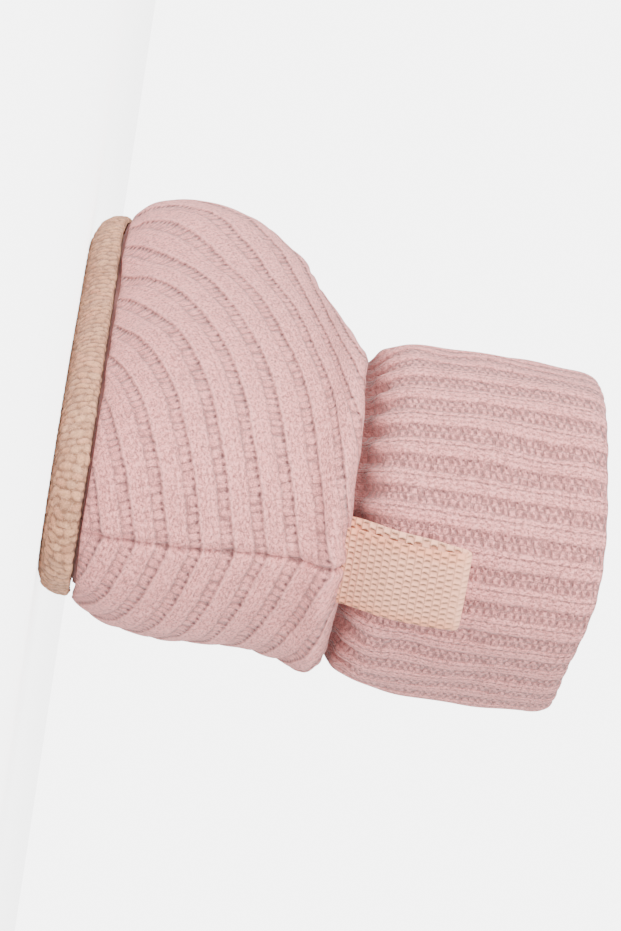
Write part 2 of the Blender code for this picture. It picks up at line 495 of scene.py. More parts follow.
# start, end, width, depth of the soft folds in the foot, then in the cuff
UPPER_FOLDS = [
    SoftFold((0.46, 0.62, 0.47), (0.64, 0.86, 0.30), 0.0060, 0.0011),
    SoftFold((0.50, -0.58, 0.48), (0.66, -0.84, 0.32), 0.0060, 0.0010),
    SoftFold((0.10, 0.70, 0.42), (0.34, 0.98, 0.40), 0.0050, 0.0007),
    SoftFold((0.10, -0.70, 0.40), (0.36, -0.98, 0.42), 0.0050, 0.0007),
    SoftFold((0.72, 0.10, 0.40), (0.80, 0.55, 0.34), 0.0070, 0.0009),
    SoftFold((0.02, 0.42, 0.20), (0.16, 0.86, 0.24), 0.0060, -0.0006),
    SoftFold((0.03, -0.40, 0.26), (0.20, -0.88, 0.22), 0.0060, -0.0006),
]
CUFF_FOLDS = [
    SoftFold((0.06, 0.55, 0.66), (0.34, 1.02, 0.70), 0.0034, 0.0012),
    SoftFold((0.00, -0.30, 0.68), (0.22, -0.98, 0.64), 0.0036, 0.0011),
    SoftFold((0.40, 0.85, 0.68), (0.52, 0.20, 0.72), 0.0040, 0.0011),
    SoftFold((0.30, -1.02, 0.72), (0.50, -0.40, 0.67), 0.0038, 0.0010),
    SoftFold((0.00, 0.45, 0.78), (0.12, 0.90, 0.92), 0.0050, 0.0008),
    SoftFold((0.02, -0.55, 0.90), (0.14, -0.92, 0.76), 0.0050, 0.0008),
    SoftFold((0.10, 0.80, 0.74), (0.34, 1.02, 0.78), 0.0040, -0.0006),
]


class Wire:
    """A value in a shader tree. Sums written with it become Math nodes."""

    def __init__(self, tree: Tree, socket: bpy.types.NodeSocket) -> None:
        """Keep the tree and the socket that puts the value out."""
        self.tree = tree
        self.socket = socket

    def __getitem__(self, name: str | int) -> Wire:
        """Another output of the same node."""
        return Wire(self.tree, self.socket.node.outputs[name])

    def math(self, operation: str, *others: object) -> Wire:
        """Math node that starts from this value."""
        return self.tree.add("Math", dict(enumerate((self, *others))), operation=operation)

    def __add__(self, other: object) -> Wire:
        """Sum."""
        return self.math("ADD", other)

    def __sub__(self, other: object) -> Wire:
        """Difference."""
        return self.math("SUBTRACT", other)

    def __rsub__(self, number: float) -> Wire:
        """Number less this value."""
        return self.math("MULTIPLY_ADD", -1.0, number)

    def __mul__(self, other: object) -> Wire:
        """Product."""
        return self.math("MULTIPLY", other)

    def __truediv__(self, other: object) -> Wire:
        """Quotient."""
        return self.math("DIVIDE", other)

    def __pow__(self, power: float) -> Wire:
        """Power."""
        return self.math("POWER", power)

    def clamp(self) -> Wire:
        """The value held to 0 to 1."""
        return self.tree.add("Math", {0: self, 1: 0.0}, operation="ADD", use_clamp=True)

    def fract(self) -> Wire:
        """What the value is over the whole number below it."""
        return self.math("FRACT")

    def odd(self) -> Wire:
        """Half a step on every second whole number."""
        return self.math("FLOOR").math("MODULO", 2.0) * 0.5

    def zigzag(self) -> Wire:
        """1 at whole numbers, falling evenly to 0 halfway between them."""
        return (self.fract() * 2.0 - 1.0).math("ABSOLUTE")

    def bell(self, middle: float, width: object) -> Wire:
        """Smooth bump of height 1 where the value is the middle one."""
        off = (self - middle) / width
        return (off * off * -1.0).math("EXPONENT")

    def rise(self, low: object, high: object) -> Wire:
        """Smooth rise from 0 where the value is low to 1 where it is high."""
        inputs = {"Value": self, "From Min": low, "From Max": high}
        return self.tree.add("MapRange", inputs, interpolation_type="SMOOTHSTEP")


class Tree:
    """Shader tree whose nodes are added and wired in one call."""

    def __init__(self, tree: bpy.types.NodeTree) -> None:
        """Keep Blender's own tree."""
        self.tree = tree

    def feed(self, target: bpy.types.NodeSocket, value: object) -> None:
        """Wire an input, or set it.

        Args:
            target: the input.
            value: a wire, a number or a colour.
        """
        if isinstance(value, Wire):
            self.tree.links.new(value.socket, target)
        else:
            target.default_value = (*value, 1.0) if isinstance(value, tuple) else value

    def add(self, kind: str, inputs: dict[str | int, object] | None = None, **settings: object) -> Wire:
        """Add a shader node.

        Args:
            kind: the node's type, without the words that all of them start with.
            inputs: wires, numbers and colours by the input's name or number.
            settings: properties to set on it.

        Returns:
            The node's first output.
        """
        node = self.tree.nodes.new("ShaderNode" + kind)
        for name, value in settings.items():
            setattr(node, name, value)
        for name, value in (inputs or {}).items():
            self.feed(node.inputs[name], value)
        return Wire(self, node.outputs[0])

    def split(self, vector: Wire) -> Wire:
        """The parts X, Y and Z of a vector."""
        return self.add("SeparateXYZ", {0: vector})

    def layers(self, colour: object, *coats: tuple[object, object]) -> Wire:
        """Lay colours over one another.

        Args:
            colour: the lowest one.
            coats: how much of each next colour shows, 0 to 1, and the colour.

        Returns:
            The colour seen.
        """
        for share, coat in coats:
            colour = self.add("Mix", {0: share, 6: colour, 7: coat}, data_type="RGBA")[2]
        return colour


class Group(Tree):
    """Node group that takes a vector and numbers, and puts out named values."""

    def __init__(self, name: str, place: str, **numbers: float) -> None:
        """Make the group's inputs.

        Args:
            name: the group's name.
            place: name of its vector input.
            numbers: its other inputs, with their usual values.
        """
        super().__init__(bpy.data.node_groups.new(name, "ShaderNodeTree"))
        sockets = self.tree.interface
        sockets.new_socket(place, in_out="INPUT", socket_type="NodeSocketVector")
        for label, value in numbers.items():
            sockets.new_socket(label, in_out="INPUT", socket_type="NodeSocketFloat").default_value = value
        self.start = Wire(self, self.tree.nodes.new("NodeGroupInput").outputs[0])

    def finish(self, **results: Wire) -> bpy.types.NodeTree:
        """Put results out under their names.

        Args:
            results: wires by the output's name.

        Returns:
            Blender's own tree.
        """
        for label in results:
            self.tree.interface.new_socket(label, in_out="OUTPUT", socket_type="NodeSocketFloat")
        end = self.tree.nodes.new("NodeGroupOutput")
        for label, value in results.items():
            self.feed(end.inputs[label], value)
        return self.tree


class Groups:
    """Node groups that the finishes share. Each is made once."""

    def __init__(self) -> None:
        """Make every group."""
        self.knit = self.make_knit()
        self.fibre = self.make_fibre()
        self.weave = self.make_weave()

    @staticmethod
    def make_knit() -> bpy.types.NodeTree:
        """Rib knit drawn in a map: x runs along the ribs in millimetres, y counts ribs.

        Returns:
            The group: map and sizes in; height, purl groove with painted shade at its bead edges, painted
                shade in the knit's openings, gaps and gutters with random dark specks, and the welt's painted
                highlight with pale strands out.
        """
        group = Group("rib_knit", "Map", **STITCH)
        start = group.start
        place = group.split(start)
        wobble = group.add("TexNoise", {"Vector": start, "Scale": 1.1, "Detail": 2.0}, noise_dimensions="2D")
        tint = group.add("SeparateColor", {0: wobble["Color"]})
        along = (place["X"] + (tint["Red"] * 1.1 - 0.55)) / start["Pitch"]
        number = place["Y"] + (tint["Green"] * 0.10 - 0.05)
        off = number.fract() - 0.5
        side = 0.5 - off.math("ABSOLUTE")
        ridge = side.rise(start["Groove"] * 0.88, start["Groove"] * 1.14)
        groove = 1.0 - ridge

        # on the rib: slanted legs of the stitches, and gutters between their columns
        across = off / (1.0 - start["Groove"] * 2.0)
        wale = across * start["Wales"] + start["Wales"] * 0.5
        local = (wale.fract() - 0.5).math("ABSOLUTE")
        beat = (local * 0.8 + along).zigzag()
        leg = (1.0 - beat**3.0) * 0.45
        gutter = local.rise(0.26, 0.50) * ridge * (across.rise(0.0, 0.05) * 0.55 + 0.45) * start["Gutters"]
        dash = beat.rise(0.25, 0.80)
        # the dark lines in the gutters are painted shade
        lines = gutter * (dash * 0.85 + 0.15)
        strands = group.add("CombineXYZ", {0: place["X"] * 1.5, 1: place["Y"] * 14.0})
        streak = group.add(
            "TexNoise",
            {"Vector": strands, "Scale": 1.0, "Detail": 2.0, "Roughness": 0.6},
            noise_dimensions="2D",
        )
        specks = streak.rise(0.46, 0.36) * (ridge * 0.12 + 0.34)

        # in the groove: purl beads in offset rows, with painted shade in the gaps and pits between them and
        # at their edges; the level is 0 at its middle and 1 at its edge
        level = ((number + 0.5).fract() - 0.5) / start["Groove"]
        row = (level * 0.5 + 0.5) * start["Beads"]
        step = along + row.odd()
        lattice = group.add("CombineXYZ", {0: step - 0.32, 1: row + (number.math("ROUND") * 7.0 - 0.32)})
        gap = group.add(
            "TexVoronoi",
            {"Vector": lattice, "Scale": 1.0, "Randomness": 0.36},
            voronoi_dimensions="2D",
            feature="F1",
        )
        dome = (1.0 - gap * gap * 2.4).clamp()
        chink_shade = gap.rise(0.38, 0.62) * groove
        pit_y = row.fract() - 0.5
        pit_x = pit_y * 0.40 + ((step + 0.5).fract() - 0.5)
        pit = (pit_x * pit_x + pit_y * pit_y).rise(0.14, 0.03) * groove * start["Pits"]
        rings = gap.rise(0.20, 0.55) * 0.75 + 0.45

        # at the groove's edges: dots of painted shade on one, a thin painted shade on the other, and the
        # rib's raised first column, painted lighter as a highlight
        dot = along.zigzag().rise(0.30, 0.85) * (tint["Blue"].rise(0.35, 0.65) * 0.60 + 0.50)
        hole_shade_and_specks = (dot + 0.14) * level.bell(0.80, start["Line"])
        edge = level.bell(-0.95, start["Line"]) * (dash * 0.28 + 0.12)
        welt = level.bell(1.34, 0.20) * start["Welt"]

        for dark in (edge, chink_shade * 0.42, pit, lines, specks):
            hole_shade_and_specks = hole_shade_and_specks.math("MAXIMUM", dark)
        raised = (leg + 0.45 - gutter) * ridge + welt * 0.35 + dome * groove
        return group.finish(
            Height=raised - hole_shade_and_specks * 0.5,
            Groove=groove * rings,
            HoleShadeAndSpecks=hole_shade_and_specks,
            WeltHighlightAndStreaks=welt.math("MAXIMUM", streak.rise(0.54, 0.66) * ridge * 0.8),
        )

    @staticmethod
    def make_fibre() -> bpy.types.NodeTree:
        """Fine fibre noise in space.

        Returns:
            The group: position and size in; height and speck out.
        """
        group = Group("fibre", "Position", Scale=2600.0)
        start, scale = group.start, group.start["Scale"]
        strand = {"Detail": 4.0, "Roughness": 0.82, "Distortion": 1.2}
        fine = group.add("TexNoise", {"Vector": start, "Scale": scale, **strand})
        broad = group.add("TexNoise", {"Vector": start, "Scale": scale * 0.16, "Detail": 2.0})
        return group.finish(Height=fine, Speck=fine * 0.85 + broad * 0.15)

    @staticmethod
    def make_weave() -> bpy.types.NodeTree:
        """Close ribbon weave in a map measured in threads: bumps in offset rows.

        Returns:
            The group: map in; height and shade out.
        """
        group = Group("ribbon_weave", "Map")
        place = group.split(group.start)
        jitter = group.add("TexNoise", {"Vector": group.start, "Scale": 0.9}, noise_dimensions="2D")
        warp = (place["X"] + (jitter * 0.5 + place["Y"].odd())).zigzag()
        weft = place["Y"].zigzag()
        crown = ((1.0 - warp**2.0) * (1.0 - weft**3.0 * 0.7)).clamp()
        pick = warp.rise(0.45, 0.92) * weft.rise(0.95, 0.35)
        seam = weft.rise(0.62, 1.0) * 0.34
        return group.finish(Height=crown**0.7, Shade=pick.math("MAXIMUM", seam))


class Surface(Tree):
    """Material with a lone Principled shader."""

    def __init__(self, name: str) -> None:
        """Make the material.

        Args:
            name: the material's name.
        """
        self.material = bpy.data.materials.new(name)
        self.material.use_nodes = True
        super().__init__(self.material.node_tree)

    def marks(self, name: str) -> Wire:
        """Three values that the mesh carries, as X, Y and Z."""
        return self.split(self.add("Attribute", attribute_name=name)["Vector"])

    def fibre(self, groups: Groups, scale: float) -> Wire:
        """Fibre noise fixed to the object: its height, with the specks beside it."""
        place = self.add("TexCoord")["Object"]
        return self.add("Group", {"Position": place, "Scale": scale}, node_tree=groups.fibre)

    def finish(
        self, colour: object, gloss: dict[str, object], *bumps: tuple[Wire, float, float]
    ) -> bpy.types.Material:
        """Give the shader its colour, gloss and bumps.

        Args:
            colour: the surface's colour.
            gloss: what else is set, by the shader's own names.
            bumps: height, distance and strength of each bump, the broadest first.

        Returns:
            The material.
        """
        shader = self.tree.nodes["Principled BSDF"]
        inputs = {"Base Color": colour, **gloss}
        for height, distance, strength in bumps:
            bump = {"Height": height, "Distance": distance, "Strength": strength}
            if "Normal" in inputs:
                bump["Normal"] = inputs["Normal"]
            inputs["Normal"] = self.add("Bump", bump)
        for label, value in inputs.items():
            self.feed(shader.inputs[label], value)
        return self.material


@dataclass(frozen=True)
class KnitFinish:
    """Fuzzy rib knit; neck is where the painted shade on the cuff's neck, under the foot's lip, ends, in
    millimetres along the ribs.
    """

    name: str
    stitch: dict[str, float]
    neck: float = 0.0
    seam_shade: bool = False
    light: Colour = (1.00, 0.338, 0.316)
    pale: Colour = (1.00, 0.456, 0.427)
    dusk: Colour = (0.38, 0.175, 0.165)
    # deep serves both the purl's own deeper tone and painted shade; the two darkest colours after it are
    # painted shade
    deep: Colour = (0.42, 0.160, 0.148)
    hole_shade: Colour = (0.13, 0.055, 0.055)
    crevice_shade: Colour = (0.20, 0.056, 0.050)
    fibre_scale: float = 3300.0
    relief: float = 0.00030
    fuzz: float = 0.00013

    def make(self, groups: Groups) -> bpy.types.Material:
        """Build the material.

        Args:
            groups: the shared node groups.

        Returns:
            The material.
        """
        cloth = Surface(self.name)
        place = cloth.add("UVMap", uv_map="weave")
        knit = cloth.add("Group", {"Map": place, **self.stitch}, node_tree=groups.knit)
        fibre = cloth.fibre(groups, self.fibre_scale)
        speck = fibre["Speck"]
        # painted shade: deeper colour where the knit is low and in the purl groove, there partly the purl's
        # own deeper tone; then random specks, the welt's painted highlight and painted shade in the knit's
        # openings
        sunk = (knit["Height"].rise(0.80, 0.10) * 0.34 + knit["Groove"] * 0.48).clamp()
        coats = [
            (sunk, self.deep),
            (speck.rise(0.50, 0.43) * 0.90, self.dusk),
            (speck.rise(0.50, 0.57) * 0.80, self.pale),
            (knit["WeltHighlightAndStreaks"] * 0.70, self.pale),
            (knit["HoleShadeAndSpecks"] * 0.78, self.hole_shade),
        ]
        if self.neck > 0.0:
            # painted shade on the cuff's neck, down in the fold under the foot's lip: deeper colour, then
            # darker patches nearest the lip
            along = cloth.split(place)["X"]
            patch = speck.rise(0.62, 0.40) * 0.45 + 0.50
            coats.append((along.rise(self.neck, 0.3 * self.neck) * 0.90, self.deep))
            coats.append((along.rise(0.65 * self.neck, 0.25 * self.neck) * patch, self.crevice_shade))
        if self.seam_shade:
            # painted shade along the stitched seam and under the collar's edge
            marks = cloth.marks("seam")
            coats += [(marks["Y"] * 0.5, self.deep), (marks["X"] * 0.75, self.hole_shade)]
        gloss = {
            "Roughness": 0.95,
            "Specular IOR Level": 0.12,
            "Sheen Weight": 0.30,
            "Sheen Roughness": 0.45,
            "Sheen Tint": (1.0, 0.90, 0.88),
        }
        colour = cloth.layers(self.light, *coats)
        return cloth.finish(colour, gloss, (knit["Height"], self.relief, 1.0), (fibre, self.fuzz, 0.8))


@dataclass(frozen=True)
class NubFinish:
    """Nubby woven cloth; the nubs themselves are in the mesh, and the gaps between them are painted darker as
    shade.
    """

    name: str
    light: Colour = (0.68, 0.328, 0.180)
    deep: Colour = (0.27, 0.135, 0.080)
    warm: Colour = (0.60, 0.240, 0.155)
    cool: Colour = (0.44, 0.265, 0.190)
    pale: Colour = (0.74, 0.400, 0.215)
    fleck: Colour = (0.90, 0.50, 0.33)
    fibre_scale: float = 2200.0
    fuzz: float = 0.00024

    def make(self, groups: Groups) -> bpy.types.Material:
        """Build the material.

        Args:
            groups: the shared node groups.

        Returns:
            The material.
        """
        cloth = Surface(self.name)
        nub = cloth.marks("nub")
        tone = nub["Y"]
        fibre = cloth.fibre(groups, self.fibre_scale)
        # painted shade between the nubs: the deep colour where a nub's crown is low, the light one on its top
        crown = nub["X"].rise(0.02, 0.88)
        colour = cloth.layers(
            self.deep,
            (crown, self.light),
            (tone.rise(0.50, 1.0) * crown * 0.8, self.warm),
            (tone.rise(0.50, 0.0) * crown * 0.7, self.cool),
            (nub["Z"] * crown, self.pale),
            (fibre["Speck"].rise(0.495, 0.40) * 0.50, self.deep),
            (fibre["Speck"].rise(0.505, 0.60) * 0.50, self.fleck),
        )
        gloss = {"Roughness": 0.92, "Specular IOR Level": 0.2, "Sheen Weight": 0.15}
        return cloth.finish(colour, gloss, (fibre, self.fuzz, 0.8))


@dataclass(frozen=True)
class RibbonFinish:
    """Close woven ribbon."""

    name: str
    light: Colour = (1.0, 0.50, 0.34)
    warm: Colour = (1.0, 0.36, 0.19)
    deep: Colour = (0.23, 0.115, 0.068)
    fibre_scale: float = 4200.0
    relief: float = 0.00040
    fuzz: float = 0.00005

    def make(self, groups: Groups) -> bpy.types.Material:
        """Build the material.

        Args:
            groups: the shared node groups.

        Returns:
            The material.
        """
        cloth = Surface(self.name)
        weave = cloth.add("Group", {"Map": cloth.add("UVMap", uv_map="weave")}, node_tree=groups.weave)
        fibre = cloth.fibre(groups, self.fibre_scale)
        tape = cloth.marks("tape")
        taut = tape["X"] * -0.65 + 1.0
        colour = cloth.layers(
            self.light,
            (tape["Y"] * 0.7, self.warm),
            (fibre["Speck"].rise(0.52, 0.36) * 0.30, self.warm),
            (weave["Shade"] * taut * 0.75, self.deep),
        )
        gloss = {"Roughness": 0.72, "Specular IOR Level": 0.3, "Sheen Weight": 0.1}
        bump = (weave["Height"] * taut, self.relief, 1.0)
        return cloth.finish(colour, gloss, bump, (fibre, self.fuzz, 0.4))


@dataclass(frozen=True)
class PlainFinish:
    """Brushed lining cloth."""

    name: str
    light: Colour = (0.76, 0.35, 0.32)
    deep: Colour = (0.62, 0.26, 0.23)
    fibre_scale: float = 1500.0
    fuzz: float = 0.0003

    def make(self, groups: Groups) -> bpy.types.Material:
        """Build the material.

        Args:
            groups: the shared node groups.

        Returns:
            The material.
        """
        cloth = Surface(self.name)
        fibre = cloth.fibre(groups, self.fibre_scale)
        colour = cloth.layers(self.deep, (fibre["Speck"].rise(0.3, 0.7), self.light))
        gloss = {"Roughness": 0.95, "Specular IOR Level": 0.15, "Sheen Weight": 0.3}
        return cloth.finish(colour, gloss, (fibre, self.fuzz, 0.8))


def rib_relief(ribs: Array, groove: float, depth: float) -> Array:
    """How far the knit sinks between its ribs.

    Args:
        ribs: rib numbers; a groove lies at each whole number.
        groove: half width of a groove, as a share of a rib.
        depth: depth of a groove.

    Returns:
        Offsets along the normal, 0 on the ribs' edges and slightly over it on their crowns.
    """
    off = np.abs(ribs - np.round(ribs))
    sunk = 1.0 - smoothstep(0.55 * groove, 1.45 * groove, off)
    crown = np.sin(np.pi * np.clip((off - groove) / (1.0 - 2.0 * groove), 0.0, 0.5)) * 0.18
    return depth * (crown - sunk)


def inflow(flow_v: Array, flow_u: Array) -> Array:
    """What flows into each place of a grid from its neighbours, less what flows out.

    Args:
        flow_v: flow from each row to the next.
        flow_u: flow from each column to the next.

    Returns:
        One value for each place.
    """
    out = np.zeros((flow_u.shape[0], flow_v.shape[1]))
    out[1:] += flow_v
    out[:-1] -= flow_v
    out[:, 1:] += flow_u
    out[:, :-1] -= flow_u
    return out


def follow(points: Array, ribs: Array, steps: int = 260) -> Array:
    """Distance along the ribs, found by least squares over a grid.

    Args:
        points: grid of places, heel column first and toe column last, not closed.
        ribs: rib numbers on the grid.
        steps: rounds of the solver.

    Returns:
        Distances in metres whose slope runs along the ribs.
    """
    rise_v, rise_u = np.gradient(points, axis=(0, 1))
    drib_v, drib_u = np.gradient(ribs)
    vv = (rise_v * rise_v).sum(-1)
    uu = (rise_u * rise_u).sum(-1)
    uv = (rise_u * rise_v).sum(-1)
    area = np.maximum(uu * vv - uv * uv, 1e-18)
    up = (drib_v * uu - drib_u * uv) / area
    side = (drib_u * vv - drib_v * uv) / area
    slope = up[..., None] * rise_v + side[..., None] * rise_u
    along = np.cross(unit(slope), grid_normals(points, wrap=False))
    want, weight = [], []
    for axis, width in ((0, np.sqrt(uu)), (1, np.sqrt(vv))):
        first, second = (np.delete(along, end, axis=axis) for end in (-1, 0))
        gap = np.diff(points, axis=axis)
        want.append(((first + second) * 0.5 * gap).sum(-1))
        wide = np.delete(width, -1, axis=axis) + np.delete(width, 0, axis=axis)
        weight.append(0.5 * wide / np.maximum(np.linalg.norm(gap, axis=-1), 1e-6))

    def spread(value: Array) -> Array:
        """Inflow that the slopes of a guess give."""
        return inflow(*(weight[axis] * np.diff(value, axis=axis) for axis in (0, 1)))

    target = inflow(weight[0] * want[0], weight[1] * want[1])
    guess = np.broadcast_to(np.concatenate([[0.0], np.cumsum(want[1].mean(axis=0))]), target.shape).copy()
    scale = np.zeros_like(uu)
    scale[1:] += weight[0]
    scale[:-1] += weight[0]
    scale[:, 1:] += weight[1]
    scale[:, :-1] += weight[1]
    rest = target - spread(guess)
    ready = rest / scale
    line = ready.copy()
    power = (rest * ready).sum()
    for _ in range(steps):
        pushed = spread(line)
        move = power / max((line * pushed).sum(), 1e-30)
        guess += move * line
        rest -= move * pushed
        ready = rest / scale
        fresh = (rest * ready).sum()
        line = ready + fresh / max(power, 1e-30) * line
        power = fresh
    return guess - guess[:, :1].mean()


@dataclass
class Assembly:
    """Sub-assembly made on the last, with its meshes once they are built."""

    last: Last
    pieces: list[bpy.types.Object] = field(default_factory=list)

    def finishes(self) -> list[object]:
        """Finish of each mesh, in their order."""
        raise NotImplementedError

    def dress(self, groups: Groups) -> None:
        """Put the finishes on the meshes, with the shared node groups."""
        for piece, finish in zip(self.pieces, self.finishes()):
            piece.data.materials.append(finish.make(groups))


@dataclass
class KnitUpper(Assembly):
    """The foot's rib-knit shell with its lining."""

    rows: int = 122
    groove: float = 0.18
    depth: float = 0.00036
    heel_end: float = -0.03
    row_pitch: float = 0.0017
    sole_stitch: float = 0.0021
    roll: float = 0.0005
    lip: float = 0.00055
    furrow: float = 0.00045
    pucker: float = 0.00035
    sole_tuck: float = 0.0004
    heel_tuck: float = 0.0007
    heel_puff: float = 0.00020
    inmost: float = -0.0022
    outmost: float = 0.0012
    hem: float = 0.0012

    def surface(self) -> tuple[Array, Array]:
        """Smooth outside of the upper from the tucked seam to the collar's edge.

        Returns:
            Grid of points, and for each row the share of the table it lies at, as a column.
        """
        last, size = self.last, self.last.sizes
        shares = np.linspace(0.0, CREST, self.rows)
        rings = [last.upper_ring(share, last.angles) for share in shares]
        crest = rings[-1]
        edge = last.oval(0.0, size.foot_height - size.edge_drop, last.angles)
        for step in (0.25, 0.5, 0.75, 1.0):
            bulge = 4.0 * step * (1.0 - step) * self.roll
            rings.append(crest + (edge - crest) * step + bulge * UP)
        rings += [edge - 0.4 * size.wall * UP, edge - 0.8 * size.wall * UP]
        return np.stack(rings), np.append(shares, [CREST] * 6)[:, None]

    def rib_numbers(self, points: Array) -> Array:
        """Rib number at each point: lines that fall from the heel seam to the sole's edge.

        Args:
            points: grid of the upper's outside.

        Returns:
            Rib numbers; a groove lies at each whole number.
        """
        run = travelled(np.concatenate([points[0], points[0][:1]]))
        middle = points.shape[1] // 2
        left = run[: middle + 1] / run[middle]
        right = (run[-1] - run[middle:-1]) / (run[-1] - run[middle])
        way = np.concatenate([left, right[1:]])
        climb = travelled(points)
        climb /= climb[self.rows - 1]
        low, high = (smooth_lookup(RIBS, column, way) for column in (1, 2))
        return low + (high - low) * np.clip(climb, 0.0, 1.05)

    def shape(self, points: Array, ribs: Array, share: Array) -> Array:
        """Ribs, tucked seams and soft unevenness on the smooth shape.

        Args:
            points: grid of the upper's outside.
            ribs: rib numbers.
            share: share of the table at each row.

        Returns:
            The finished grid.
        """
        size = self.last.sizes
        normal = grid_normals(points)
        climb = travelled(points)
        fade = smoothstep(0.0, 0.0022, climb) * (1.0 - 0.7 * smoothstep(6.4, CREST, share))
        offset = rib_relief(ribs, self.groove, self.depth) * fade
        offset += 0.00050 * hash_noise(points, 0.013, 3) + 0.0003 * hash_noise(points, 0.006, 9)
        offset += sum(fold.press(points, size) for fold in UPPER_FOLDS)

        # the rolled lip, the furrow under it and its puckers, then the tuck into the sole's seam
        offset += self.lip * bell(share, 6.2, 0.5) - self.furrow * bell(share, 5.0, 0.5)
        offset += self.pucker * bell(share, 6.6, 0.7) * hash_noise(points * [1.0, 1.0, 0.2], 0.0045, 14)
        offset -= self.sole_tuck * bell(climb, 0.0, 0.0006)

        # the seam down the heel, with the knit puffed up beside it
        aside = points[..., 1]
        seam = self.heel_puff * bell(np.abs(aside), 0.0020, 0.0014)
        seam -= self.heel_tuck * bell(aside, 0.0, 0.0005)
        offset += smoothstep(0.0, 0.003, climb) * seam * (points[..., 0] < self.heel_end)
        made = points + normal * np.clip(offset, self.inmost, self.outmost)[..., None]
        made[0] = points[0] - self.hem * normal[0]
        made[..., 2] = np.maximum(made[..., 2], size.seam_height - 0.0002)
        return made

    def seam_shade_marks(self, points: Array, share: Array) -> Array:
        """Painted shade where thread bites into the knit: down the heel and along the sole.

        Args:
            points: grid of the upper's outside.
            share: share of the table at each row.

        Returns:
            For each point the painted shade of the stitched seam, the painted shade under the collar, and 0.
        """
        climb, run = travelled(points), travelled(points[0])
        heel = bell(points[..., 1], 0.0, 0.00025) * (points[..., 0] < self.heel_end)
        heel *= 0.60 + 0.40 * np.cos(TURN * climb / self.row_pitch)
        notch = np.clip(0.45 + 0.75 * np.cos(TURN * run / self.sole_stitch), 0.0, 1.0)
        sole = 0.3 * bell(climb, 0.0, 0.0005) + 0.5 * notch * bell(climb, 0.0007, 0.0005)
        return pack(np.clip(heel + sole, 0.0, 1.0), bell(share, CREST, 0.18), 0.0)

    def lining(self) -> Array:
        """Inside of the upper, a wall's thickness in from the outside.

        Returns:
            A coarser grid of points.
        """
        last, size = self.last, self.last.sizes
        angles = last.angles[::5]
        shares = np.linspace(0.0, 6.0, 31)
        rings = np.stack([last.upper_ring(share, angles) for share in shares])
        normal = grid_normals(rings)
        flat = np.clip(1.0 - shares, 0.0, 1.0)[:, None, None]
        inward = unit(normal * (1.0 - flat) + unit(normal * [1.0, 1.0, 0.0]) * flat)
        edge = last.oval(0.0, size.foot_height - size.edge_drop - size.wall, angles)
        foot = rings[:1] - 0.0010 * inward[:1]
        lip = edge + 0.5 * size.wall * UP
        return np.concatenate([foot, rings - size.wall * inward, edge[None], lip[None]])

    def build(self) -> None:
        """Make the knit shell and the lining."""
        points, share = self.surface()
        ribs = self.rib_numbers(points)
        middle = points.shape[1] // 2
        left = follow(points[:, : middle + 1], ribs[:, : middle + 1])
        far, far_ribs = (
            np.concatenate([grid[:, middle:], grid[:, :1]], axis=1)[:, ::-1] for grid in (points, ribs)
        )
        right = follow(far * [1.0, -1.0, 1.0], far_ribs)
        run = np.concatenate([left, right[:, ::-1][:, 1:]], axis=1)
        uv = pack(run / MM, np.concatenate([ribs, ribs[:, :1]], axis=1))
        marks = ("seam", self.seam_shade_marks(points, share))
        shell = grid_piece("upper_knit", self.shape(points, ribs, share), uv, marks)
        stand_in(Slot.UPPER)
        lining = grid_piece("upper_lining", self.lining(), flip=True)
        self.pieces = [shell, lining]

    def finishes(self) -> list[object]:
        """Finish of the shell and of the lining."""
        stitch = dict(Groove=self.groove, Pitch=1.45, Gutters=0.25)
        return [KnitFinish("upper_rib_knit", stitch, seam_shade=True), PlainFinish("upper_lining_cloth")]


